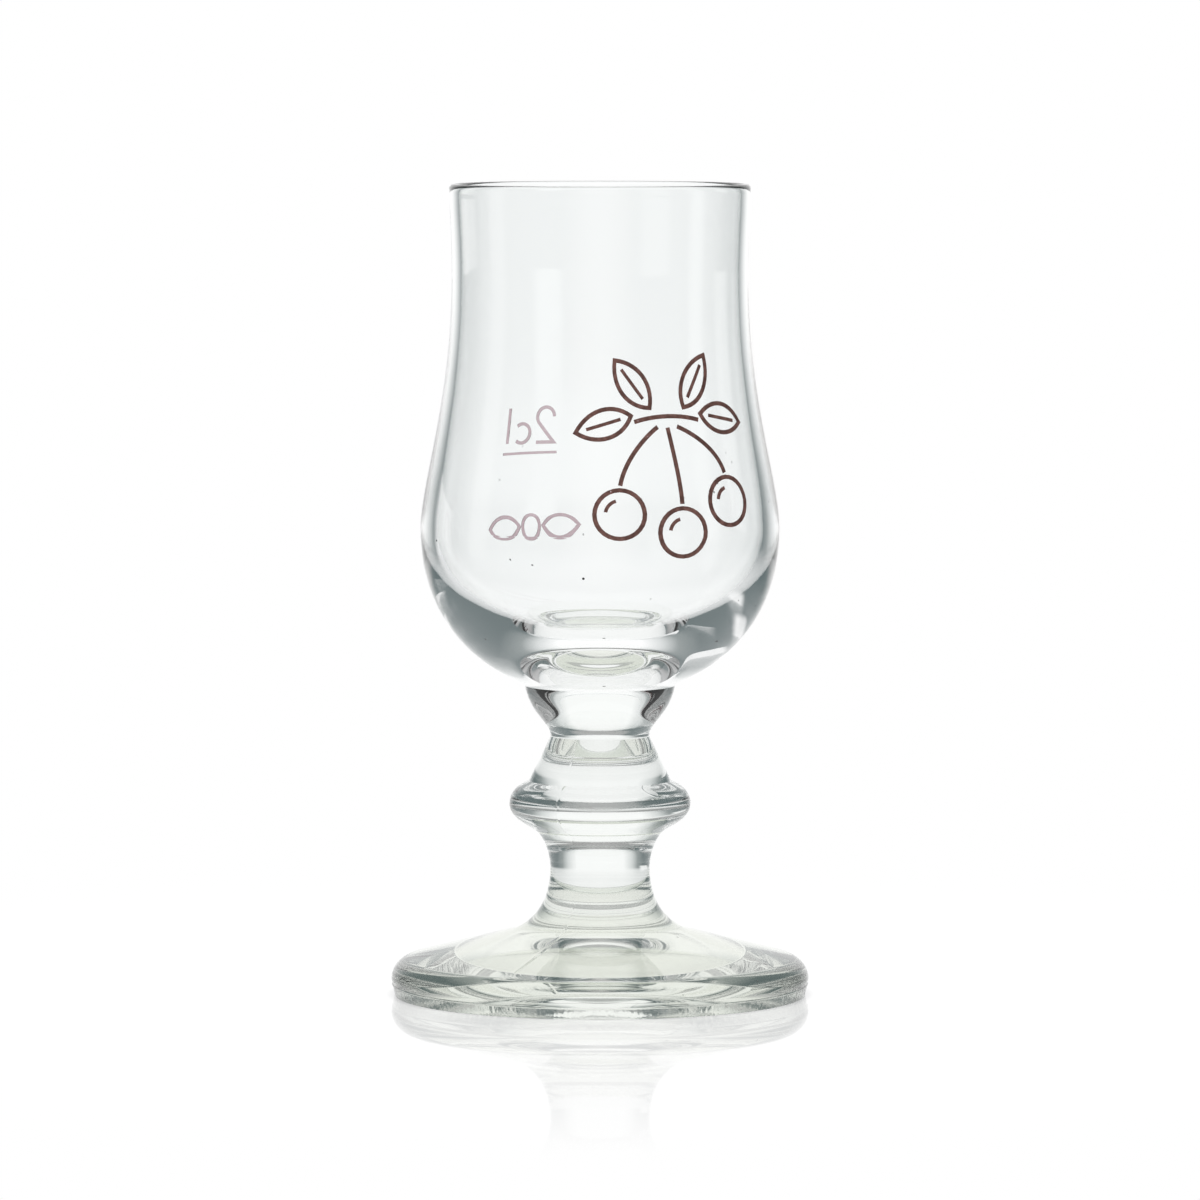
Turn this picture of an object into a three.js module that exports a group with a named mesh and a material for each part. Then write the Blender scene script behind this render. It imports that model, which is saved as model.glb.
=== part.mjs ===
// A small stemmed glass: a tulip bowl on a collar, a ringed knop, a short stem and a round foot,
// with a measure mark and a fruit sprig printed on the outside of the bowl in fired enamel.
// Millimetres and degrees, +Z up. The origin is on the axis, on the surface that the glass stands on.
// Heights inside a piece start at the face that it stands on, so the pieces stack from the foot up.
import * as THREE from "three";

// Foot: a shallow cone with an upright edge, a worn band below the mould line and a wide hollow under it.
const footDiameter = 49.6;
const footHeight = 10.15;
const footCrownHeight = 4.37;
const footCrownInset = 1.85;
const footShoulderDiameter = 21.4;
const footShoulderHeight = 7.6;
const footWidestHeight = 1.9;
const mouldLineHeight = 1.3;
const mouldLineInset = 0.15;
const restingRingDiameter = 48.8;
const restingRingWidth = 8.4;
const hollowHeight = 3.6;
const footEdgePull = 0.5;

// Stem: a short waisted post between the foot and the knop.
const stemFootDiameter = 14.5;
const stemFootAngle = 55;
const stemWaistDiameter = 11.8;
const stemWaistHeight = 4.85;
const stemTopDiameter = 15.3;
const stemTopAngle = 39;
const stemLength = 9.42;

// Knop: a rounded ring with a cone above it.
const ringDiameter = 21.5;
const ringHeight = 3.13;
const coneFootDiameter = 16.8;
const coneFootHeight = 5.93;
const coneShoulderAngle = 26;
const neckDiameter = 11.7;
const knopHeight = 11.2;
const ringUnderPull = 0.55;
const ringOverPull = 0.6;
const coneFootPull = 0.5;

// Collar: the flared seat between the knop and the bowl.
const collarTopDiameter = 17.8;
const collarTopLean = 10;
const collarHeight = 6;
const collarFootPull = 0.27;
const collarTopPull = 0.58;

// Bowl: a full belly, a slight waist below the rim, a thin wall and a thick base.
const bowlHeight = 59.4;
const bellyDiameter = 42.5;
const bellyHeight = 18.8;
const waistDiameter = 35;
const waistHeight = 48.9;
const rimDiameter = 35.6;
const rimStraight = 0.6;
const underBellyAngle = 42;
const wallThickness = 1.13;
const bellyWallThickness = 1.92;
const baseThickness = 4.3;
const bowlFootPull = 0.11;
const underBellyPull = 0.77;
const overBellyPull = 0.18;
const overCupPull = 0.2;
const underWaistPull = 0.5;
const overWaistPull = 0.5;
const rimPull = 0.2;
const cupFloorPull = 0.62;
const cupSidePull = 0.6;

// Enamel print: thin islands that follow the bowl's outer side.
const printThickness = 0.1;
const printClearance = 0.06;
const printStep = 0.9;
const lineWidth = 0.5;
const fineLineWidth = 0.4;

// Measure mark on the back of the bowl, with its fill line at the height that holds the measure.
const measureVolume = 20000;
const markAngle = 117;
const fillLineLength = 7.8;
const fillLineWidth = 0.32;
const figureHeight = 4.4;
const figureWidth = 2.4;
const figureLine = 0.42;
const figureRise = 1.3;
const figureGap = 1;
const letterWidth = 2.4;
const letterOpening = 50;
const hookEnd = -36;

// Fruit sprig on the front of the bowl and a leaf pair on the back.
const sprigAngle = -66;
const sprigHeight = 27;
const fruitDiameter = 5.6;
const glintDiameter = 3.2;
const glintStart = 105;
const glintEnd = 170;
const leafWidth = 3.3;
const leafLength = 7;
const leafSwell = 0.67;
const leafStalkShare = 0.25;
const leafTipShare = 0.7;
const ribShare = 0.62;
const backMotifAngle = 115;
const backMotifHeight = 17;
const backLeafLength = 4.8;
const backLeafWidth = 2.2;
const backBerryDiameter = 2.4;
const motifGap = 0.5;

// Smoothness of the round forms.
const turns = 40;
const curveSteps = 6;
const longCurveSteps = 9;
const lipSteps = 3;
const printCurveSteps = 14;

const clearGlass = new THREE.MeshStandardMaterial({
  color: 0xe6eeec,
  roughness: 0.04,
  metalness: 0,
  transparent: true,
  opacity: 0.35,
});
const maroonEnamel = new THREE.MeshStandardMaterial({ color: 0x6b3b34, roughness: 0.45, metalness: 0 });

// A point at a distance from another one, in a direction given in degrees.
function reach(x, y, distance, degrees) {
  const angle = THREE.MathUtils.degToRad(degrees);
  return [x + distance * Math.cos(angle), y + distance * Math.sin(angle)];
}

// A closed body turned about +Z from a profile of radius and height that starts and ends on the axis.
function turned(name, profile) {
  const geometry = new THREE.LatheGeometry(profile, turns).rotateX(Math.PI / 2);
  const mesh = new THREE.Mesh(geometry, clearGlass);
  mesh.name = name;
  return mesh;
}

// The points of a side, with the flat bottom and top faces that close it on the axis.
function betweenFaces(side) {
  const points = side.getPoints(curveSteps);
  return [new THREE.Vector2(0, points[0].y), ...points, new THREE.Vector2(0, points.at(-1).y)];
}

function foot() {
  const edge = footDiameter / 2;
  const crown = edge - footCrownInset;
  const shoulder = footShoulderDiameter / 2;
  const joint = stemFootDiameter / 2;
  const resting = restingRingDiameter / 2;
  const hollow = resting - restingRingWidth;
  const fall = THREE.MathUtils.radToDeg(
    Math.atan2(footShoulderHeight - footCrownHeight, crown - shoulder),
  );
  const flare = Math.hypot(shoulder - joint, footHeight - footShoulderHeight) / 3;
  const edgeRise = (footCrownHeight - footWidestHeight) * footEdgePull;
  const side = new THREE.Path();
  side.moveTo(0, hollowHeight);
  side.bezierCurveTo(hollow / 3, hollowHeight, (hollow * 2) / 3, (hollowHeight * 2) / 3, hollow, 0);
  side.lineTo(resting, 0);
  side.lineTo(edge - mouldLineInset, mouldLineHeight);
  side.lineTo(edge, footWidestHeight);
  side.bezierCurveTo(
    edge,
    footWidestHeight + edgeRise,
    ...reach(crown, footCrownHeight, footCrownInset * footEdgePull, -fall),
    crown,
    footCrownHeight,
  );
  side.lineTo(shoulder, footShoulderHeight);
  side.bezierCurveTo(
    ...reach(shoulder, footShoulderHeight, flare, 180 - fall),
    ...reach(joint, footHeight, flare, -stemFootAngle),
    joint,
    footHeight,
  );
  const profile = side.getPoints(curveSteps);
  profile.push(new THREE.Vector2(0, footHeight));
  return turned("foot", profile);
}

function stem() {
  const bottom = stemFootDiameter / 2;
  const waist = stemWaistDiameter / 2;
  const top = stemTopDiameter / 2;
  const lowReach = stemWaistHeight / 3;
  const highReach = (stemLength - stemWaistHeight) / 3;
  const side = new THREE.Path();
  side.moveTo(bottom, 0);
  side.bezierCurveTo(
    ...reach(bottom, 0, lowReach, 180 - stemFootAngle),
    waist,
    stemWaistHeight - lowReach,
    waist,
    stemWaistHeight,
  );
  side.bezierCurveTo(
    waist,
    stemWaistHeight + highReach,
    ...reach(top, stemLength, highReach, 180 + stemTopAngle),
    top,
    stemLength,
  );
  return turned("stem", betweenFaces(side));
}

function knop() {
  const bottom = stemTopDiameter / 2;
  const ring = ringDiameter / 2;
  const coneFoot = coneFootDiameter / 2;
  const overRing = (coneFootHeight - ringHeight) * ringOverPull;
  const side = new THREE.Path();
  side.moveTo(bottom, 0);
  side.bezierCurveTo(
    ...reach(bottom, 0, ringHeight / 3, stemTopAngle),
    ring,
    ringHeight * (1 - ringUnderPull),
    ring,
    ringHeight,
  );
  side.bezierCurveTo(
    ring,
    ringHeight + overRing,
    ...reach(coneFoot, coneFootHeight, (ring - coneFoot) * coneFootPull, -coneShoulderAngle),
    coneFoot,
    coneFootHeight,
  );
  side.lineTo(neckDiameter / 2, knopHeight);
  return turned("knop", betweenFaces(side));
}

function collar() {
  const bottom = neckDiameter / 2;
  const top = collarTopDiameter / 2;
  const side = new THREE.Path();
  side.moveTo(bottom, 0);
  side.bezierCurveTo(
    bottom,
    collarHeight * collarFootPull,
    ...reach(top, collarHeight, collarHeight * collarTopPull, 270 - collarTopLean),
    top,
    collarHeight,
  );
  return turned("collar", betweenFaces(side));
}

// The bowl's outer side from the collar up to the lip.
function bowlOuterSide() {
  const bottom = collarTopDiameter / 2;
  const belly = bellyDiameter / 2;
  const waist = waistDiameter / 2;
  const rim = rimDiameter / 2;
  const lipHeight = bowlHeight - wallThickness / 2 - rimStraight;
  const shoulderRise = waistHeight - bellyHeight;
  const side = new THREE.Path();
  side.moveTo(bottom, 0);
  side.bezierCurveTo(
    ...reach(bottom, 0, (belly - bottom) * bowlFootPull, underBellyAngle),
    belly,
    bellyHeight * (1 - underBellyPull),
    belly,
    bellyHeight,
  );
  side.bezierCurveTo(
    belly,
    bellyHeight + shoulderRise * overBellyPull,
    waist,
    waistHeight - shoulderRise * underWaistPull,
    waist,
    waistHeight,
  );
  side.bezierCurveTo(
    waist,
    waistHeight + (lipHeight - waistHeight) * overWaistPull,
    rim,
    lipHeight - (lipHeight - waistHeight) * rimPull,
    rim,
    lipHeight,
  );
  return side.getPoints(longCurveSteps);
}

// The bowl's inner side from the middle of its floor up to the lip.
function bowlInnerSide() {
  const belly = bellyDiameter / 2 - bellyWallThickness;
  const waist = waistDiameter / 2 - wallThickness;
  const rim = rimDiameter / 2 - wallThickness;
  const lipHeight = bowlHeight - wallThickness / 2 - rimStraight;
  const shoulderRise = waistHeight - bellyHeight;
  const cupDepth = bellyHeight - baseThickness;
  const side = new THREE.Path();
  side.moveTo(0, baseThickness);
  side.bezierCurveTo(
    belly * cupFloorPull,
    baseThickness,
    belly,
    bellyHeight - cupDepth * cupSidePull,
    belly,
    bellyHeight,
  );
  side.bezierCurveTo(
    belly,
    bellyHeight + shoulderRise * overCupPull,
    waist,
    waistHeight - shoulderRise * underWaistPull,
    waist,
    waistHeight,
  );
  side.bezierCurveTo(
    waist,
    waistHeight + (lipHeight - waistHeight) * overWaistPull,
    rim,
    lipHeight - (lipHeight - waistHeight) * rimPull,
    rim,
    lipHeight,
  );
  return side.getPoints(longCurveSteps);
}

const outerSide = bowlOuterSide();
const innerSide = bowlInnerSide();

function bowl() {
  const lip = new THREE.Path();
  const middle = (rimDiameter - wallThickness) / 2;
  lip.absarc(middle, bowlHeight - wallThickness / 2, wallThickness / 2, 0, Math.PI, false);
  const profile = [
    new THREE.Vector2(0, 0),
    ...outerSide,
    ...lip.getPoints(lipSteps),
    ...innerSide.toReversed(),
  ];
  return turned("bowl", profile);
}

// The bowl's outer radius at a height, on the straight stretches between the points of its side.
function outerRadius(height) {
  const above = outerSide.findIndex((point) => point.y >= height);
  const high = outerSide.at(above);
  const low = outerSide[Math.max(above - 1, 0)];
  if (above <= 0 || high.y === low.y) return high.x;
  return THREE.MathUtils.mapLinear(height, low.y, high.y, low.x, high.x);
}

// The height inside the bowl at which it holds a volume.
function heightHolding(volume) {
  let held = 0;
  for (let i = 1; i < innerSide.length; i += 1) {
    const low = innerSide[i - 1];
    const high = innerSide[i];
    const squares = low.x * low.x + low.x * high.x + high.x * high.x;
    const slice = (Math.PI / 3) * (high.y - low.y) * squares;
    if (held + slice >= volume) return low.y + ((high.y - low.y) * (volume - held)) / slice;
    held += slice;
  }
  return innerSide.at(-1).y;
}

// A line's points, with extra ones on its long stretches so that the print can bend.
function stepped(points) {
  const line = [points[0]];
  for (let i = 1; i < points.length; i += 1) {
    const start = points[i - 1];
    const count = Math.ceil(start.distanceTo(points[i]) / printStep);
    for (let k = 1; k <= count; k += 1) line.push(start.clone().lerp(points[i], k / count));
  }
  return line;
}

// The two edges of a pen line at each of its points, mitred where the line turns.
function penEdges(points, closed, width) {
  const last = points.length - 1;
  const neighbour = (i) => points[closed ? (i + points.length) % points.length : i];
  return points.map((point, i) => {
    const from = i > 0 || closed ? point.clone().sub(neighbour(i - 1)).normalize() : null;
    const onward = i < last || closed ? neighbour(i + 1).clone().sub(point).normalize() : null;
    const before = from ?? onward;
    const after = onward ?? from;
    const across = new THREE.Vector2(-before.y - after.y, before.x + after.x).normalize();
    across.multiplyScalar(width / 2 / (across.y * before.x - across.x * before.y));
    return [point.clone().add(across), point.clone().sub(across)];
  });
}

// An enamel line laid round the bowl, its motif's middle at an angle and a height.
// Each point of the line gives four corners: the left and right edges, next to the glass and proud.
function printed(name, path, width, degrees, height) {
  const points = stepped(path.getPoints(printCurveSteps));
  const closed = points[0].distanceTo(points.at(-1)) < width / 10;
  if (closed) points.pop();
  const middle = THREE.MathUtils.degToRad(degrees);
  const around = outerRadius(height);
  const corners = [];
  const onBowl = (place, lift) => {
    const up = height + place.y;
    const radius = outerRadius(up) + printClearance + lift;
    const angle = middle + place.x / around;
    corners.push(radius * Math.cos(angle), radius * Math.sin(angle), up);
  };
  penEdges(points, closed, width).forEach(([left, right]) => {
    onBowl(left, 0);
    onBowl(right, 0);
    onBowl(right, printThickness);
    onBowl(left, printThickness);
  });
  const faces = [];
  const quad = (a, b, c, d) => faces.push(a, b, c, a, c, d);
  const spans = closed ? points.length : points.length - 1;
  for (let i = 0; i < spans; i += 1) {
    const here = 4 * i;
    const next = 4 * ((i + 1) % points.length);
    for (let k = 0; k < 4; k += 1) {
      const side = (k + 1) % 4;
      quad(here + k, next + k, next + side, here + side);
    }
  }
  if (!closed) {
    const end = 4 * spans;
    quad(0, 1, 2, 3);
    quad(end + 3, end + 2, end + 1, end);
  }
  const geometry = new THREE.BufferGeometry();
  geometry.setAttribute("position", new THREE.Float32BufferAttribute(corners, 3));
  geometry.setIndex(faces);
  geometry.computeVertexNormals();
  const mesh = new THREE.Mesh(geometry, maroonEnamel);
  mesh.name = name;
  return mesh;
}

function straight(startX, startY, endX, endY) {
  const path = new THREE.Path();
  path.moveTo(startX, startY);
  path.lineTo(endX, endY);
  return path;
}

function bent(start, startReach, endReach, end) {
  const path = new THREE.Path();
  path.moveTo(...start);
  path.bezierCurveTo(...startReach, ...endReach, ...end);
  return path;
}

function arc(x, y, radius, from, to) {
  const path = new THREE.Path();
  path.absarc(x, y, radius, THREE.MathUtils.degToRad(from), THREE.MathUtils.degToRad(to), false);
  return path;
}

// A leaf's edge from its stalk to its tip and back, lying at an angle.
function leafEdge(x, y, degrees, length, width) {
  const swell = (share, side) => {
    const [midX, midY] = reach(x, y, length * share, degrees);
    return reach(midX, midY, width * side * leafSwell, degrees + 90);
  };
  const tip = reach(x, y, length, degrees);
  const path = new THREE.Path();
  path.moveTo(x, y);
  path.bezierCurveTo(...swell(leafStalkShare, -1), ...swell(leafTipShare, -1), ...tip);
  path.bezierCurveTo(...swell(leafTipShare, 1), ...swell(leafStalkShare, 1), x, y);
  return path;
}

function leafRib(x, y, degrees, length) {
  const start = reach(x, y, (length * (1 - ribShare)) / 2, degrees);
  const end = reach(x, y, (length * (1 + ribShare)) / 2, degrees);
  return straight(...start, ...end);
}

// The figure 2: a round hook, a slanting stroke and a foot.
function figureTwo(left, bottom) {
  const radius = figureWidth / 2;
  const path = new THREE.Path();
  const turnEnd = THREE.MathUtils.degToRad(hookEnd);
  path.absarc(left + radius, bottom + figureHeight - radius, radius, Math.PI, turnEnd, true);
  path.lineTo(left, bottom);
  path.lineTo(left + figureWidth, bottom);
  return path;
}

// The measure mark stands on its fill line: the figure, then the unit's round and tall letters.
function measureMark() {
  const mark = new THREE.Group();
  const line = heightHolding(measureVolume);
  const add = (name, path, width) => mark.add(printed(name, path, width, markAngle, line));
  const letter = figureWidth + figureGap;
  const stroke = letter + letterWidth + figureGap;
  const left = -stroke / 2;
  const round = left + letter + letterWidth / 2;
  add("fill_line", straight(-fillLineLength / 2, 0, fillLineLength / 2, 0), fillLineWidth);
  add("mark_2", figureTwo(left, figureRise), figureLine);
  const half = letterWidth / 2;
  add("mark_c", arc(round, figureRise + half, half, letterOpening, 360 - letterOpening), figureLine);
  add("mark_l", straight(left + stroke, figureRise, left + stroke, figureRise + figureHeight), figureLine);
  return mark;
}

// Three round fruits on stalks under a leafy twig. Places are across and up from the sprig's middle.
function fruitSprig() {
  const sprig = new THREE.Group();
  const add = (name, path, width) => sprig.add(printed(name, path, width, sprigAngle, sprigHeight));
  const fruits = [
    { x: -6.2, y: -5.4, stalk: [[-1.3, 4.6], [-3.4, 3.2], [-5.6, 0.6], [-6.1, -2.1]] },
    { x: 1.1, y: -7.6, stalk: [[0, 4.5], [0.5, 1.8], [1.1, -1.5], [1.1, -4.3]] },
    { x: 7.6, y: -4.2, stalk: [[1.3, 4.6], [3.8, 3.6], [6.9, 1.6], [7.5, -0.9]] },
  ];
  const leaves = [
    { x: -4.6, y: 5.9, angle: 196 },
    { x: -2.2, y: 6.8, angle: 128 },
    { x: 2.4, y: 6.8, angle: 58 },
    { x: 4.8, y: 6, angle: -10 },
  ];
  add("sprig_twig", bent([-4.2, 5.2], [-1.6, 6], [1.8, 6], [4.4, 5.3]), lineWidth);
  fruits.forEach(({ x, y, stalk }, i) => {
    add(`sprig_stalk_${i + 1}`, bent(...stalk), lineWidth);
    add(`sprig_fruit_${i + 1}`, arc(x, y, fruitDiameter / 2, 0, 360), lineWidth);
    add(`sprig_glint_${i + 1}`, arc(x, y, glintDiameter / 2, glintStart, glintEnd), fineLineWidth);
  });
  leaves.forEach(({ x, y, angle }, i) => {
    add(`sprig_leaf_${i + 1}`, leafEdge(x, y, angle, leafLength, leafWidth), lineWidth);
    add(`sprig_rib_${i + 1}`, leafRib(x, y, angle, leafLength), fineLineWidth);
  });
  return sprig;
}

// A berry between two leaves.
function backMotif() {
  const motif = new THREE.Group();
  const add = (name, path) => {
    motif.add(printed(name, path, fineLineWidth, backMotifAngle, backMotifHeight));
  };
  const leafStart = backBerryDiameter / 2 + motifGap;
  add("back_berry", arc(0, 0, backBerryDiameter / 2, 0, 360));
  add("back_leaf_left", leafEdge(-leafStart, 0, 180, backLeafLength, backLeafWidth));
  add("back_leaf_right", leafEdge(leafStart, 0, 0, backLeafLength, backLeafWidth));
  return motif;
}

// A part raised to the height of the face that it stands on.
function raised(part, height) {
  part.position.z = height;
  return part;
}

const stemSeat = footHeight;
const knopSeat = stemSeat + stemLength;
const collarSeat = knopSeat + knopHeight;
const bowlSeat = collarSeat + collarHeight;

const printedBowl = new THREE.Group();
printedBowl.add(bowl(), measureMark(), fruitSprig(), backMotif());

const glass = new THREE.Group();
glass.add(
  foot(),
  raised(stem(), stemSeat),
  raised(knop(), knopSeat),
  raised(collar(), collarSeat),
  raised(printedBowl, bowlSeat),
);

export default glass;
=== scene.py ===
import math
import bmesh
import bpy
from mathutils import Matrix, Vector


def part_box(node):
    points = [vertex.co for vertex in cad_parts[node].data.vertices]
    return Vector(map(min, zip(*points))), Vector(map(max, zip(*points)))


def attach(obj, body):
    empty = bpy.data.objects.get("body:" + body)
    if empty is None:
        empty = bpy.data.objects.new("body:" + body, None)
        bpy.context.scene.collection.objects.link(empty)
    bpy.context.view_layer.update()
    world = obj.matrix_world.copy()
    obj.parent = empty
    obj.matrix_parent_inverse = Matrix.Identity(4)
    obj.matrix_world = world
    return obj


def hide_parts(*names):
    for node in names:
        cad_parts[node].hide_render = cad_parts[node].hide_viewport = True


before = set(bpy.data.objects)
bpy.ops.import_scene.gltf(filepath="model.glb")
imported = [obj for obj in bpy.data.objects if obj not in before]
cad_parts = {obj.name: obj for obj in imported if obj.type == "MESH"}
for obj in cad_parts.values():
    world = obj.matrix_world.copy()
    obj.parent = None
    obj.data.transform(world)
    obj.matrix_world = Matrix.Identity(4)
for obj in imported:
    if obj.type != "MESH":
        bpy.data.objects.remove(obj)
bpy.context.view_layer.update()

scene = bpy.context.scene
mm = 0.001
print("frame in place,", len(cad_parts), "nodes")


class Wire:  # one socket of a node tree, so that shader maths reads as plain sums
    def __init__(self, tree, socket=None):
        self.tree = tree
        self.socket = socket

    def node(self, kind, settings=None, sockets=None, output=0):
        made = self.tree.nodes.new(kind)
        for name, value in (settings or {}).items():
            if name == "stops":
                fillRamp(made.color_ramp, value)
            else:
                setattr(made, name, value)
        for name, value in (sockets or {}).items():
            if isinstance(value, Wire):
                self.tree.links.new(value.socket, made.inputs[name])
            else:
                made.inputs[name].default_value = value
        return Wire(self.tree, made.outputs[output] if made.outputs else None)

    def sum(self, operation, *values):
        return self.node("ShaderNodeMath", {"operation": operation}, dict(enumerate(values)))

    def __add__(self, other):
        return self.sum("ADD", self, other)

    __radd__ = __add__

    def __sub__(self, other):
        return self.sum("SUBTRACT", self, other)

    def __rsub__(self, other):
        return self.sum("SUBTRACT", other, self)

    def __mul__(self, other):
        return self.sum("MULTIPLY", self, other)

    __rmul__ = __mul__

    def __truediv__(self, other):
        return self.sum("DIVIDE", self, other)

    def __rtruediv__(self, other):
        return self.sum("DIVIDE", other, self)

    def __gt__(self, other):
        return self.sum("GREATER_THAN", self, other)

    def __lt__(self, other):
        return self.sum("LESS_THAN", self, other)

    def __abs__(self):
        return self.sum("ABSOLUTE", self)

    def rise(self, low, high):  # 0 below low, 1 above high, smooth between
        return self.node(
            "ShaderNodeMapRange",
            {"interpolation_type": "SMOOTHSTEP"},
            {"Value": self, "From Min": low, "From Max": high},
        )

    def blend(self, first, second):  # the colour first where this is 0, second where it is 1
        sockets = {0: self, 6: first, 7: second}  # a Mix node's colours have these places, and its result 2
        return self.node("ShaderNodeMix", {"data_type": "RGBA"}, sockets, 2)


def fillRamp(ramp, stops):
    while len(ramp.elements) < len(stops):
        ramp.elements.new(1.0)
    for element, (place, colour) in zip(ramp.elements, stops):
        element.position = place
        element.color = opaque(colour)


def opaque(colour):
    return (*colour, 1)


def grey(level):
    return opaque((level, level, level))


def newMaterial(name):
    material = bpy.data.materials.new(name)
    material.use_nodes = True
    material.node_tree.nodes.clear()
    return material, Wire(material.node_tree)


def inMillimetres(wire):  # the piece's own coordinates, one unit to the millimetre
    place = wire.node("ShaderNodeTexCoord", output="Object")
    return wire.node("ShaderNodeVectorMath", {"operation": "SCALE"}, {0: place, "Scale": 1 / mm})


def along(wire, place, axis):
    return wire.node("ShaderNodeSeparateXYZ", None, {0: place}, axis)


def lengthOf(wire, place):
    return wire.node("ShaderNodeVectorMath", {"operation": "LENGTH"}, {0: place}, "Value")


def stretch(wire, place, shares):
    return wire.node("ShaderNodeVectorMath", {"operation": "MULTIPLY"}, {0: place, 1: shares})


def rayIs(wire, kind):
    return wire.node("ShaderNodeLightPath", output=f"Is {kind} Ray")


def noise(wire, place, size, detail=2.0, rough=0.5):  # soft cloud, one swell to each size in millimetres
    sockets = {"Vector": place, "Scale": 1 / size, "Detail": detail, "Roughness": rough}
    return wire.node("ShaderNodeTexNoise", None, sockets)


def specks(wire, place, cell, size, share):  # grains up to size across, in a share of the cells
    sockets = {"Vector": place, "Scale": 1 / cell}
    near = wire.node("ShaderNodeTexVoronoi", None, sockets, "Distance")
    lot = wire.node("ShaderNodeTexVoronoi", None, sockets, "Color")
    chance = wire.node("ShaderNodeSeparateColor", None, {0: lot}, 0)
    return (near < size / cell / 2) * (chance < share)


# camera, at the photo's viewpoint

photoCamera = {
    "distance": 0.906,  # from the glass's axis
    "height": 0.1144,  # above the table
    "tilt": 4.26,  # degrees down
    "sensor": 36.0,
    "lens": 230.07,
}


def placeCamera():
    bpy.ops.object.select_all(action="DESELECT")
    bpy.ops.object.camera_add(
        location=(0, -photoCamera["distance"], photoCamera["height"]),
        rotation=(math.radians(90 - photoCamera["tilt"]), 0, 0),
    )
    camera = bpy.context.active_object
    camera.name = "photoCamera"
    camera.data.sensor_width = photoCamera["sensor"]
    camera.data.lens = photoCamera["lens"]
    scene.camera = camera


placeCamera()
print("camera placed")


# drawing and turning a profile; a profile is a list of (radius, height) in millimetres

lathe = {
    "turns": 192,
    "curveSteps": 22,
    "curveEdge": 0.006,  # an extra ring this close to each end keeps the shading true
    "lineEdge": 0.024,
    "mergeGap": 0.0005,  # millimetres
    "levelSlack": 0.001,  # millimetres
    "levelNormal": 0.999,  # a face that points up or down at least this much is level
    "sharpAngle": 38,  # degrees; edges sharper than this stay crisp
}


def reach(point, distance, degrees):
    angle = math.radians(degrees)
    return (point[0] + distance * math.cos(angle), point[1] + distance * math.sin(angle))


def lineTo(path, end):
    start = path[-1]
    for share in (lathe["lineEdge"], 1 - lathe["lineEdge"], 1):
        path.append(tuple(a + (b - a) * share for a, b in zip(start, end)))


def curveTo(path, startReach, endReach, end, steps=lathe["curveSteps"]):
    corners = (path[-1], startReach, endReach, end)
    shares = [lathe["curveEdge"], *(i / steps for i in range(1, steps)), 1 - lathe["curveEdge"], 1]
    for t in shares:
        weights = ((1 - t) ** 3, 3 * t * (1 - t) ** 2, 3 * t * t * (1 - t), t**3)
        path.append(tuple(sum(w * c[axis] for w, c in zip(weights, corners)) for axis in (0, 1)))


def soloSelect(piece):
    bpy.ops.object.select_all(action="DESELECT")
    piece.select_set(True)
    bpy.context.view_layer.objects.active = piece


def pick(piece, kind, wanted):  # in edit mode, selects the verts, edges or faces that a test wants
    bpy.ops.mesh.select_mode(type={"verts": "VERT", "edges": "EDGE", "faces": "FACE"}[kind])
    bpy.ops.mesh.select_all(action="DESELECT")
    shape = bmesh.from_edit_mesh(piece.data)
    for part in getattr(shape, kind):
        if wanted(part):
            part.select_set(True)
    shape.select_flush_mode()
    bmesh.update_edit_mesh(piece.data)


def turnPiece(name, path, seat):  # one vertex is drawn out along the profile, then spun about the axis
    bpy.ops.object.select_all(action="DESELECT")
    start = (path[0][0] * mm, 0, seat + path[0][1] * mm)
    bpy.ops.mesh.primitive_plane_add(size=mm, location=start)
    piece = bpy.context.active_object
    piece.name = name
    piece.data.name = name
    bpy.ops.object.transform_apply(location=True, rotation=False, scale=False)
    bpy.ops.object.mode_set(mode="EDIT")
    bpy.ops.mesh.select_mode(type="VERT")
    bpy.ops.mesh.select_all(action="SELECT")
    bpy.ops.mesh.merge(type="CENTER")
    for here, onward in zip(path, path[1:]):
        step = ((onward[0] - here[0]) * mm, 0, (onward[1] - here[1]) * mm)
        bpy.ops.mesh.extrude_region_move(TRANSFORM_OT_translate={"value": step})
    bpy.ops.mesh.select_all(action="SELECT")
    bpy.ops.mesh.spin(steps=lathe["turns"], angle=2 * math.pi, center=(0, 0, 0), axis=(0, 0, 1))
    bpy.ops.mesh.select_all(action="SELECT")
    bpy.ops.mesh.remove_doubles(threshold=lathe["mergeGap"] * mm)
    bpy.ops.mesh.normals_make_consistent(inside=False)
    bpy.ops.object.mode_set(mode="OBJECT")
    return piece


def finishGlass(piece, material, joints):  # smooth shading, glass, and clear joint faces at the given heights
    slack = lathe["levelSlack"] * mm

    def onJoint(face):
        heights = [vert.co.z for vert in face.verts]
        level = abs(face.normal.z) > lathe["levelNormal"] and max(heights) - min(heights) < slack
        return level and any(abs(height - joint) < slack for height in heights for joint in joints)

    soloSelect(piece)
    piece.data.materials.append(material)
    piece.data.materials.append(jointMaterial)
    bpy.ops.object.mode_set(mode="EDIT")
    pick(piece, "faces", onJoint)
    piece.active_material_index = 1  # the joints' slot
    bpy.ops.object.material_slot_assign()
    bpy.ops.object.mode_set(mode="OBJECT")
    bpy.ops.object.shade_smooth_by_angle(angle=math.radians(lathe["sharpAngle"]))
    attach(piece, "root")
    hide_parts(piece.name.removesuffix("_glass"))
    print(piece.name, len(piece.data.polygons), "faces")


def bottomOf(node):
    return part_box(node)[0].z


def topOf(node):
    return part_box(node)[1].z


def heightOf(node):  # in millimetres
    return (topOf(node) - bottomOf(node)) / mm


# mould seams, two fine ridges on opposite sides of the pressed stem

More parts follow.
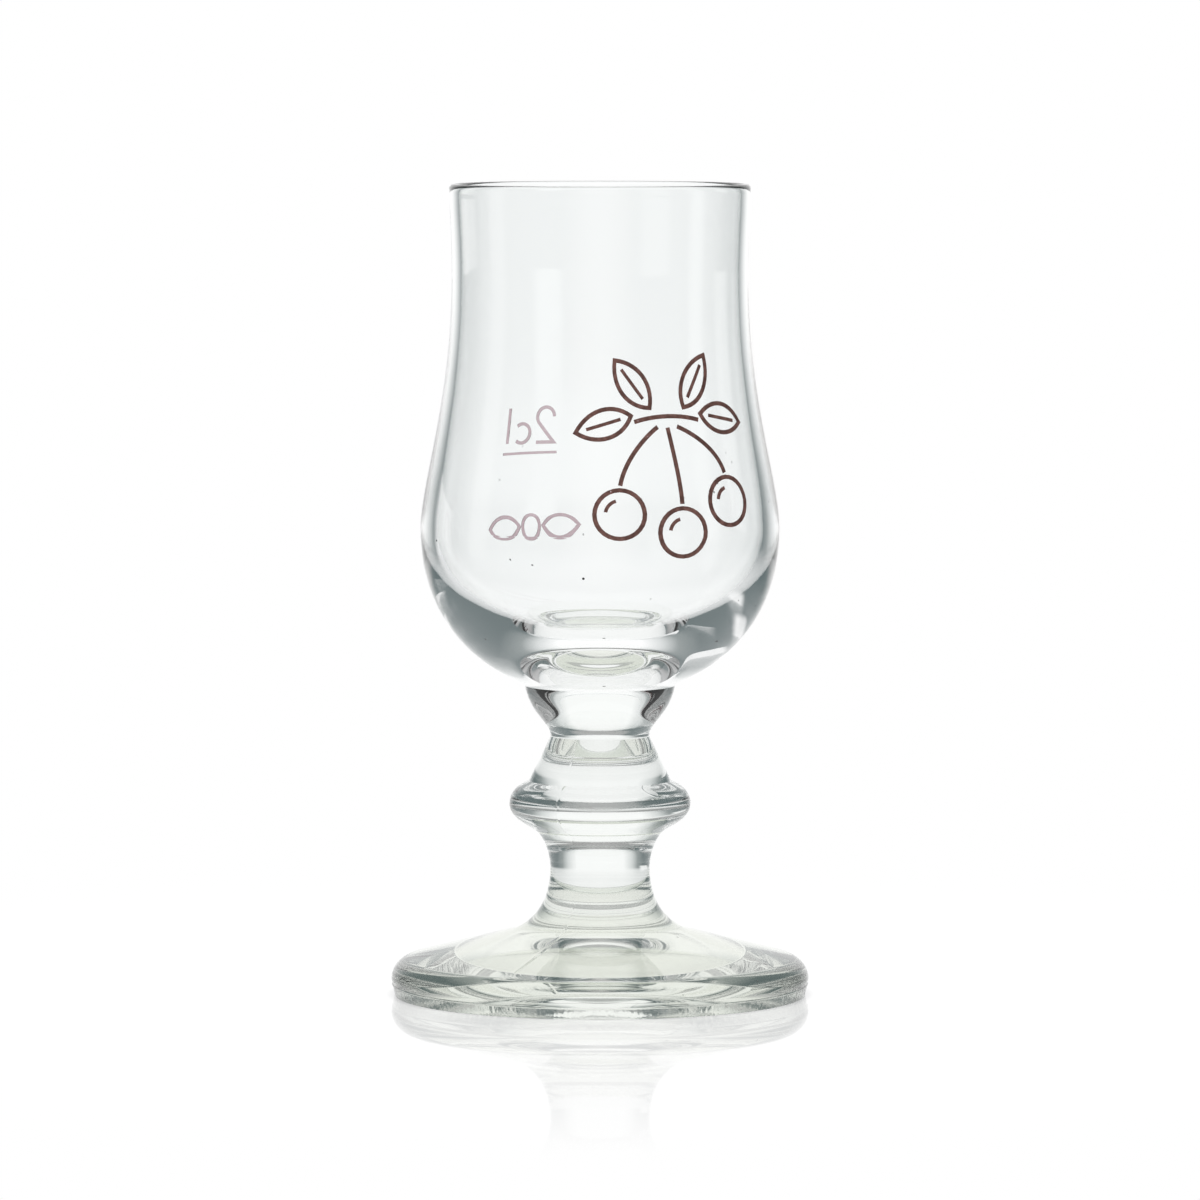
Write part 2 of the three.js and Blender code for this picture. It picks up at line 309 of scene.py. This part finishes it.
seam = {
    "angles": (-118, 62),  # degrees round the axis
    "width": 0.22,  # this and the rest in millimetres
    "height": 0.035,
    "slack": 0.01,
    "clearOfAxis": 2,
    "clearOfJoint": 0.05,
}


def raiseSeams(piece, low, high):  # between two heights in metres
    soloSelect(piece)
    bpy.ops.object.mode_set(mode="EDIT")
    step = 360 / lathe["turns"]
    for angle in seam["angles"]:
        column = math.radians(round(angle / step) * step)
        ray = (math.cos(column), math.sin(column))

        def onSeam(vert):
            beside = abs(vert.co.x * ray[1] - vert.co.y * ray[0]) < seam["slack"] * mm
            ahead = vert.co.x * ray[0] + vert.co.y * ray[1] > seam["clearOfAxis"] * mm
            return beside and ahead and low < vert.co.z < high

        pick(piece, "edges", lambda edge: all(onSeam(vert) for vert in edge.verts))
        bpy.ops.mesh.bevel(offset=seam["width"] / 2 * mm, segments=2, affect="EDGES")
        pick(piece, "verts", onSeam)
        bpy.ops.transform.shrink_fatten(value=seam["height"] * mm)
    bpy.ops.object.mode_set(mode="OBJECT")


def raiseSeamsBetweenJoints(piece, node):
    clear = seam["clearOfJoint"] * mm
    raiseSeams(piece, bottomOf(node) + clear, topOf(node) - clear)


# glass: clear soda glass with the marks of its making and use

glassLook = {
    "ior": 1.5,
    "bowlTint": (0.975, 0.985, 0.983),
    "stemTint": (0.91, 0.93, 0.915),
    "footTint": (0.8, 0.828, 0.765),
    "waveSize": 14,  # millimetres from swell to swell
    "waveDepth": 0.02,
    "grainColour": (0.10, 0.10, 0.095),
    "grainRoughness": 0.8,
}


def jointGlass():  # the pieces are fused, so light passes their joints unbent
    material, wire = newMaterial("fusedJoint")
    clear = wire.node("ShaderNodeBsdfTransparent")
    wire.node("ShaderNodeOutputMaterial", None, {"Surface": clear})
    return material


def clearGlass(name, tint, grains, wear=None):
    material, wire = newMaterial(name)
    place = inMillimetres(wire)
    swell = noise(wire, place, glassLook["waveSize"])
    bump = wire.node("ShaderNodeBump", None, {"Height": swell, "Distance": glassLook["waveDepth"] * mm})
    rough = 0.0
    if wear:
        rough, bump = wear(wire, place, bump)
    glass = wire.node(
        "ShaderNodeBsdfPrincipled",
        None,
        {
            "Base Color": opaque(tint),
            "Roughness": rough,
            "IOR": glassLook["ior"],
            "Transmission Weight": 1.0,
            "Normal": bump,
        },
    )
    grain = wire.node(
        "ShaderNodeBsdfPrincipled",
        None,
        {"Base Color": opaque(glassLook["grainColour"]), "Roughness": glassLook["grainRoughness"]},
    )
    body = wire.node("ShaderNodeMixShader", None, {0: grains(wire, place), 1: glass, 2: grain})
    wire.node("ShaderNodeOutputMaterial", None, {"Surface": body})
    return material


jointMaterial = jointGlass()


# foot

footForm = {
    "edgeRadius": 24.8,
    "crownHeight": 4.37,
    "crownInset": 1.85,
    "shoulderRadius": 10.7,
    "shoulderHeight": 7.6,
    "widestHeight": 1.9,
    "mouldLineHeight": 1.3,
    "mouldLineInset": 0.15,
    "mouldRidge": 0.09,
    "mouldRidgeWidth": 0.2,
    "restingRadius": 24.4,
    "hollowRadius": 16.0,
    "hollowHeight": 3.6,
    "jointRadius": 7.25,
    "jointAngle": 55,
    "edgePull": 0.5,
    "dustCell": 1.5,  # millimetres; each cell may hold one grain
    "dustSize": 0.26,
    "dustShare": 0.3,
    "dustFrom": (2.5, 3.5),  # heights between which the dust sets in
    "dustySide": (4, 14),  # places across the foot between which it thickens
    "dustScatter": 2.0,
    "leastDust": 0.1,
    "patchSize": 5.0,
    "patchEdge": (0.5, 0.6),
    "rubbedUpTo": (-0.2, 0.1),  # from the mould line
    "rubbedFrom": (-0.4, -0.1),  # from the resting radius
    "tickSize": 0.55,
    "tickStretch": 0.12,
    "tickEdge": (0.5, 0.72),
    "scuffSize": 2.4,
    "scuffEdge": (0.42, 0.62),
    "scuffRoughness": 0.28,
    "nickDepth": 0.06,
}


def footGrains(wire, place):  # dust, most of it on the right of the foot
    f = footForm
    dust = specks(wire, place, f["dustCell"], f["dustSize"], f["dustShare"])
    side = along(wire, place, "X").rise(*f["dustySide"]) * (1 - f["leastDust"]) + f["leastDust"]
    patches = noise(wire, place, f["patchSize"]).rise(*f["patchEdge"])
    upper = along(wire, place, "Z").rise(*f["dustFrom"])
    return dust * (side > noise(wire, place, f["dustScatter"])) * patches * upper


def footWear(wire, place, bump):  # the edge below the mould line is rubbed and nicked
    f = footForm
    below = 1 - along(wire, place, "Z").rise(*(f["mouldLineHeight"] + shift for shift in f["rubbedUpTo"]))
    radius = lengthOf(wire, stretch(wire, place, (1, 1, 0)))
    rubbed = below * radius.rise(*(f["restingRadius"] + shift for shift in f["rubbedFrom"]))
    ticks = noise(wire, stretch(wire, place, (1, 1, f["tickStretch"])), f["tickSize"], detail=3)
    scuffs = noise(wire, place, f["scuffSize"], detail=4).rise(*f["scuffEdge"])
    worn = rubbed * ticks.rise(*f["tickEdge"]) * scuffs * f["scuffRoughness"]
    nicks = wire.node(
        "ShaderNodeBump", None, {"Height": ticks * rubbed, "Distance": f["nickDepth"] * mm, "Normal": bump}
    )
    return worn, nicks


def makeFoot():
    f = footForm
    height = heightOf("foot")
    crown = (f["edgeRadius"] - f["crownInset"], f["crownHeight"])
    shoulder = (f["shoulderRadius"], f["shoulderHeight"])
    joint = (f["jointRadius"], height)
    fall = math.degrees(math.atan2(shoulder[1] - crown[1], crown[0] - shoulder[0]))
    flare = math.dist(shoulder, joint) / 3
    hollow = f["hollowRadius"]
    deep = f["hollowHeight"]
    path = [(0, deep)]
    curveTo(path, (hollow / 3, deep), (hollow * 2 / 3, deep * 2 / 3), (hollow, 0))
    lineTo(path, (f["restingRadius"], 0))
    mouldLine = (f["edgeRadius"] - f["mouldLineInset"], f["mouldLineHeight"])
    lineTo(path, (mouldLine[0], mouldLine[1] - f["mouldRidgeWidth"] / 2))
    path.append((mouldLine[0] + f["mouldRidge"], mouldLine[1]))
    path.append((mouldLine[0], mouldLine[1] + f["mouldRidgeWidth"] / 2))
    widest = (f["edgeRadius"], f["widestHeight"])
    lineTo(path, widest)
    edgeRise = (crown[1] - widest[1]) * f["edgePull"]
    edgeReach = reach(crown, f["crownInset"] * f["edgePull"], -fall)
    curveTo(path, (widest[0], widest[1] + edgeRise), edgeReach, crown)
    lineTo(path, shoulder)
    curveTo(path, reach(shoulder, flare, 180 - fall), reach(joint, flare, -f["jointAngle"]), joint)
    path.append((0, height))
    piece = turnPiece("foot_glass", path, bottomOf("foot"))
    seamTop = topOf("foot") - seam["clearOfJoint"] * mm
    raiseSeams(piece, bottomOf("foot") + f["crownHeight"] * mm, seamTop)
    footMaterial = clearGlass("footGlass", glassLook["footTint"], footGrains, footWear)
    finishGlass(piece, footMaterial, [topOf("foot")])


makeFoot()


# stem; its glass is also the knop's and the collar's

stemForm = {
    "footRadius": 7.25,
    "footAngle": 55,
    "waistRadius": 5.9,
    "waistHeight": 4.85,
    "topRadius": 7.65,
    "topAngle": 39,
    "grainCell": 3.1,
    "grainSize": 0.4,
    "grainShare": 0.08,
}


def stemGrains(wire, place):
    return specks(wire, place, stemForm["grainCell"], stemForm["grainSize"], stemForm["grainShare"])


def makeStem():
    s = stemForm
    height = heightOf("stem")
    bottom = (s["footRadius"], 0)
    waist = (s["waistRadius"], s["waistHeight"])
    top = (s["topRadius"], height)
    low = waist[1] / 3
    high = (height - waist[1]) / 3
    path = [(0, 0), bottom]
    curveTo(path, reach(bottom, low, 180 - s["footAngle"]), (waist[0], waist[1] - low), waist)
    curveTo(path, (waist[0], waist[1] + high), reach(top, high, 180 + s["topAngle"]), top)
    path.append((0, height))
    piece = turnPiece("stem_glass", path, bottomOf("stem"))
    raiseSeamsBetweenJoints(piece, "stem")
    finishGlass(piece, stemMaterial, [bottomOf("stem"), topOf("stem")])


stemMaterial = clearGlass("stemGlass", glassLook["stemTint"], stemGrains)
makeStem()


# knop

knopForm = {
    "footRadius": 7.65,
    "footAngle": 39,
    "ringRadius": 10.75,
    "ringHeight": 3.13,
    "coneRadius": 8.4,
    "coneHeight": 5.93,
    "coneAngle": 26,
    "neckRadius": 5.85,
    "ringUnderPull": 0.55,
    "ringOverPull": 0.6,
    "conePull": 0.5,
}


def makeKnop():
    k = knopForm
    height = heightOf("knop")
    bottom = (k["footRadius"], 0)
    ring = (k["ringRadius"], k["ringHeight"])
    cone = (k["coneRadius"], k["coneHeight"])
    under = (ring[0], ring[1] * (1 - k["ringUnderPull"]))
    over = (ring[0], ring[1] + (cone[1] - ring[1]) * k["ringOverPull"])
    path = [(0, 0), bottom]
    curveTo(path, reach(bottom, ring[1] / 3, k["footAngle"]), under, ring)
    curveTo(path, over, reach(cone, (ring[0] - cone[0]) * k["conePull"], -k["coneAngle"]), cone)
    lineTo(path, (k["neckRadius"], height))
    path.append((0, height))
    piece = turnPiece("knop_glass", path, bottomOf("knop"))
    raiseSeamsBetweenJoints(piece, "knop")
    finishGlass(piece, stemMaterial, [bottomOf("knop"), topOf("knop")])


makeKnop()


# collar

collarForm = {
    "footRadius": 5.85,
    "topRadius": 8.9,
    "topLean": 10,
    "footPull": 0.27,
    "topPull": 0.58,
}


def makeCollar():
    c = collarForm
    height = heightOf("collar")
    bottom = (c["footRadius"], 0)
    top = (c["topRadius"], height)
    path = [(0, 0), bottom]
    footReach = (bottom[0], height * c["footPull"])
    curveTo(path, footReach, reach(top, height * c["topPull"], 270 - c["topLean"]), top)
    path.append((0, height))
    piece = turnPiece("collar_glass", path, bottomOf("collar"))
    finishGlass(piece, stemMaterial, [bottomOf("collar"), topOf("collar")])


makeCollar()


# bowl

bowlForm = {
    "footRadius": 8.9,
    "underBellyAngle": 42,
    "footPull": 0.11,
    "bellyRadius": 21.25,
    "bellyHeight": 18.8,
    "bellySteps": 40,
    "underBellyPull": 0.77,
    "overBellyPull": 0.18,
    "waistRadius": 17.5,
    "waistHeight": 48.9,
    "underWaistPull": 0.5,
    "overWaistPull": 0.5,
    "rimRadius": 17.8,
    "rimStraight": 0.6,
    "rimPull": 0.2,
    "wall": 1.13,
    "bellyWall": 1.92,
    "base": 4.3,
    "cupSidePull": 0.6,
    "cupFloorPull": 0.62,
    "overCupPull": 0.2,
    "lipSteps": 12,
    "grainCell": 2.3,  # millimetres; each cell may hold one grain
    "grainSize": 0.32,
    "grainShare": 0.22,
    "scratchCell": 2.9,
    "scratchSize": 0.24,
    "scratchShare": 0.2,
    "scratchStretch": 0.35,
    "patchSize": 9.0,
    "patchEdge": (0.5, 0.56),
    "cleanFrom": (52, 70),  # heights above the table between which the marks die out
}


def bowlGrains(wire, place):  # a few scratches and grains low on the bowl
    b = bowlForm
    fine = specks(wire, place, b["grainCell"], b["grainSize"], b["grainShare"])
    tall = stretch(wire, place, (1, 1, b["scratchStretch"]))
    scratch = specks(wire, tall, b["scratchCell"], b["scratchSize"], b["scratchShare"])
    low = 1 - along(wire, place, "Z").rise(*b["cleanFrom"])
    patches = noise(wire, place, b["patchSize"]).rise(*b["patchEdge"])
    return wire.sum("MAXIMUM", fine, scratch) * low * patches


def wallUp(path, belly, waist, rim, overBelly):  # from the belly up to the rim
    b = bowlForm
    rise = waist[1] - belly[1]
    last = rim[1] - waist[1]
    underWaist = (waist[0], waist[1] - rise * b["underWaistPull"])
    curveTo(path, (belly[0], belly[1] + rise * overBelly), underWaist, waist)
    overWaist = (waist[0], waist[1] + last * b["overWaistPull"])
    curveTo(path, overWaist, (rim[0], rim[1] - last * b["rimPull"]), rim)


def makeBowl():
    b = bowlForm
    lip = heightOf("bowl") - b["wall"] / 2
    bottom = (b["footRadius"], 0)
    belly = (b["bellyRadius"], b["bellyHeight"])
    waist = (b["waistRadius"], b["waistHeight"])
    rim = (b["rimRadius"], lip - b["rimStraight"])
    outer = [(0, 0), bottom]
    footReach = reach(bottom, (belly[0] - bottom[0]) * b["footPull"], b["underBellyAngle"])
    curveTo(outer, footReach, (belly[0], belly[1] * (1 - b["underBellyPull"])), belly, b["bellySteps"])
    wallUp(outer, belly, waist, rim, b["overBellyPull"])
    cup = (belly[0] - b["bellyWall"], belly[1])
    depth = cup[1] - b["base"]
    inner = [(0, b["base"])]
    cupReach = (cup[0], cup[1] - depth * b["cupSidePull"])
    curveTo(inner, (cup[0] * b["cupFloorPull"], b["base"]), cupReach, cup, b["bellySteps"])
    wallUp(inner, cup, (waist[0] - b["wall"], waist[1]), (rim[0] - b["wall"], rim[1]), b["overCupPull"])
    middle = (rim[0] - b["wall"] / 2, lip)
    turn = [reach(middle, b["wall"] / 2, 180 * i / b["lipSteps"]) for i in range(b["lipSteps"] + 1)]
    piece = turnPiece("bowl_glass", outer + turn + inner[::-1], bottomOf("bowl"))
    bowlMaterial = clearGlass("bowlGlass", glassLook["bowlTint"], bowlGrains)
    finishGlass(piece, bowlMaterial, [bottomOf("bowl")])


makeBowl()


# enamel print

enamelPaint = {
    "colour": (0.105, 0.045, 0.036),
    "thinColour": (0.21, 0.098, 0.08),
    "glassSide": (0.2, 0.09, 0.1),  # the print's back, which shows through the bowl
    "thinness": 0.74,  # the light that its back lets through
    "thinTint": (1.0, 0.89, 0.92),
    "flowSize": 0.7,  # millimetres from thick to thin paint
    "flowEdge": (0.35, 0.68),
    "roughness": 0.42,
    "roughnessSwing": 0.2,
    "grainSize": 0.25,
    "grainDepth": 0.02,
    "pinhole": 0.14,  # millimetres across
    "pinholeCell": 0.55,
    "pinholeShare": 0.35,
}


def enamelMaterial():
    e = enamelPaint
    material, wire = newMaterial("maroonEnamel")
    place = inMillimetres(wire)
    flow = noise(wire, place, e["flowSize"], detail=4, rough=0.6)
    ink = flow.rise(*e["flowEdge"]).blend(opaque(e["colour"]), opaque(e["thinColour"]))
    facing = wire.node("ShaderNodeNewGeometry", output="Normal")
    out = wire.node("ShaderNodeVectorMath", {"operation": "DOT_PRODUCT"}, {0: facing, 1: place}, "Value")
    inward = out < 0
    grain = noise(wire, place, e["grainSize"], detail=3)
    paint = wire.node(
        "ShaderNodeBsdfPrincipled",
        None,
        {
            "Base Color": inward.blend(ink, opaque(e["glassSide"])),
            "Roughness": e["roughness"] + flow * e["roughnessSwing"] - e["roughnessSwing"] / 2,
            "Normal": wire.node("ShaderNodeBump", None, {"Height": grain, "Distance": e["grainDepth"] * mm}),
        },
    )
    clear = wire.node("ShaderNodeBsdfTransparent", None, {"Color": opaque(e["thinTint"])})
    holes = specks(wire, place, e["pinholeCell"], e["pinhole"], e["pinholeShare"])
    bare = wire.sum("MAXIMUM", holes, inward * e["thinness"])
    film = wire.node("ShaderNodeMixShader", None, {0: bare, 1: paint, 2: clear})
    wire.node("ShaderNodeOutputMaterial", None, {"Surface": film})
    return material


def paintPrint():
    enamel = enamelMaterial()
    glassNodes = {"foot", "stem", "knop", "collar", "bowl"}
    for name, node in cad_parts.items():
        if name not in glassNodes:
            node.material_slots[0].material = enamel


paintPrint()
print("print painted")


# table, room and lamps

room = {
    "walls": (  # degrees round from the wall behind the glass, and the room's colour there
        (0, (1.06, 1.06, 1.06)),
        (19, (1.06, 1.06, 1.06)),
        (28.5, (0.72, 0.74, 0.74)),
        (36.5, (0.3, 0.33, 0.33)),
        (48, (0.13, 0.165, 0.17)),
        (150, (0.13, 0.165, 0.17)),
        (165, (0.35, 0.35, 0.35)),
        (180, (0.45, 0.45, 0.45)),
    ),
    "wallCards": ((-90, 4),),  # pale cards low on the walls: degrees round and half width
    "tableCards": ((-52, 7), (-90, 4), (135, 8)),
    "cardSoft": 8,
    "cardTop": 6,  # degrees above the table
    "card": 0.95,
    "ceilingFrom": (52, 64),  # degrees above the table
    "ceiling": 0.42,
    "fill": 0.7,
}


def roomColour(wire, place, cards, low=1.0):  # the walls, and the cards that show through the glass
    angle = wire.sum("ARCTAN2", along(wire, place, "X"), along(wire, place, "Y"))
    around = angle * (180 / math.pi)
    stops = [(degrees / 180, colour) for degrees, colour in room["walls"]]
    walls = wire.node("ShaderNodeValToRGB", {"stops": stops}, {0: abs(around) / 180})
    bare = 1.0
    for middle, half in cards:
        bare = abs(around - middle).rise(half, half + room["cardSoft"]) * bare
    return ((1 - bare) * low * rayIs(wire, "Transmission")).blend(walls, grey(room["card"]))


table = {
    "size": 4.0,
    "drop": 0.02 * mm,  # keeps the table just clear of the foot
    "gloss": 1.4,  # index of its polish
    "polish": 0.8,
    "mirrorFade": (0.03, 0.14),  # metres from the axis between which the gloss dies out
    # painted contact shadow: the table's glow darkens towards this tint where the foot comes within this
    # reach
    "contactReach": 1.2 * mm,
    "contactSamples": 8,
    "paintedContactShadow": (0.55, 0.55, 0.56),
    "underTint": (0.96, 0.96, 0.94),  # in the foot's own shade
    "underEdge": (23 * mm, 24 * mm),
    "roomFade": (0.04, 0.25),  # metres; here the glass sees the table take on the room's colour
}


def tableMaterial():
    material, wire = newMaterial("whiteTable")
    place = wire.node("ShaderNodeTexCoord", output="Object")
    radius = lengthOf(wire, place)
    fade = 1 - radius.rise(*table["mirrorFade"])
    gloss = wire.node("ShaderNodeFresnel", None, {"IOR": table["gloss"]}) * fade * table["polish"]
    # painted contact shadow: ambient occlusion darkens the table's glow near the foot
    openness = wire.node(
        "ShaderNodeAmbientOcclusion",
        {"samples": table["contactSamples"]},
        {"Distance": table["contactReach"]},
        "AO",
    )
    shaded = openness.blend(opaque(table["paintedContactShadow"]), grey(1))
    near = radius.rise(*table["underEdge"]).blend(opaque(table["underTint"]), shaded)
    far = radius.rise(*table["roomFade"]) * (1 - rayIs(wire, "Camera"))
    lit = far.blend(near, roomColour(wire, place, room["tableCards"]))
    glow = wire.node("ShaderNodeEmission", None, {"Color": lit, "Strength": 1.0})
    mirror = wire.node("ShaderNodeBsdfGlossy", None, {"Color": grey(1), "Roughness": 0.0})
    top = wire.node("ShaderNodeMixShader", None, {0: gloss, 1: glow, 2: mirror})
    wire.node("ShaderNodeOutputMaterial", None, {"Surface": top})
    return material


def makeTable():
    bpy.ops.object.select_all(action="DESELECT")
    bpy.ops.mesh.primitive_plane_add(size=table["size"], location=(0, 0, -table["drop"]))
    bpy.ops.object.transform_apply(location=True, rotation=False, scale=False)
    top = bpy.context.active_object
    top.name = "table_top"
    top.data.materials.append(tableMaterial())


def makeRoom():
    world = bpy.data.worlds.new("studioRoom")
    scene.world = world
    world.use_nodes = True
    world.node_tree.nodes.clear()
    wire = Wire(world.node_tree)
    place = wire.node("ShaderNodeTexCoord", output="Generated")
    up = wire.sum("ARCSINE", along(wire, place, "Z")) * (180 / math.pi)
    low = 1 - up.rise(room["cardTop"], room["cardTop"] + room["cardSoft"])
    walls = roomColour(wire, place, room["wallCards"], low)
    seen = up.rise(*room["ceilingFrom"]).blend(walls, grey(room["ceiling"]))
    plain = rayIs(wire, "Diffuse").blend(seen, grey(room["fill"]))
    shown = rayIs(wire, "Camera").blend(plain, grey(1))
    light = wire.node("ShaderNodeBackground", None, {"Color": shown, "Strength": 1.0})
    wire.node("ShaderNodeOutputWorld", None, {"Surface": light})


lamps = (
    {"name": "softKey", "place": (-0.7, -0.9, 1.1), "size": 0.8, "power": 6},
    {"name": "softFill", "place": (0.9, -0.8, 0.7), "size": 0.8, "power": 3},
)


def hangLamps():
    for lamp in lamps:
        bpy.ops.object.select_all(action="DESELECT")
        bpy.ops.object.light_add(type="AREA", location=lamp["place"])
        made = bpy.context.active_object
        made.name = lamp["name"]
        made.data.size = lamp["size"]
        made.data.energy = lamp["power"]
        aim = -made.location
        made.rotation_euler = aim.to_track_quat("-Z", "Y").to_euler()
        made.visible_glossy = False
        made.visible_transmission = False


makeTable()
makeRoom()
hangLamps()
scene.view_settings.view_transform = "Standard"
scene.cycles.max_bounces = 32  # light crosses many glass faces
scene.cycles.transmission_bounces = 32
scene.cycles.glossy_bounces = 16
scene.cycles.transparent_max_bounces = 64
print("table, room and lamps in place")
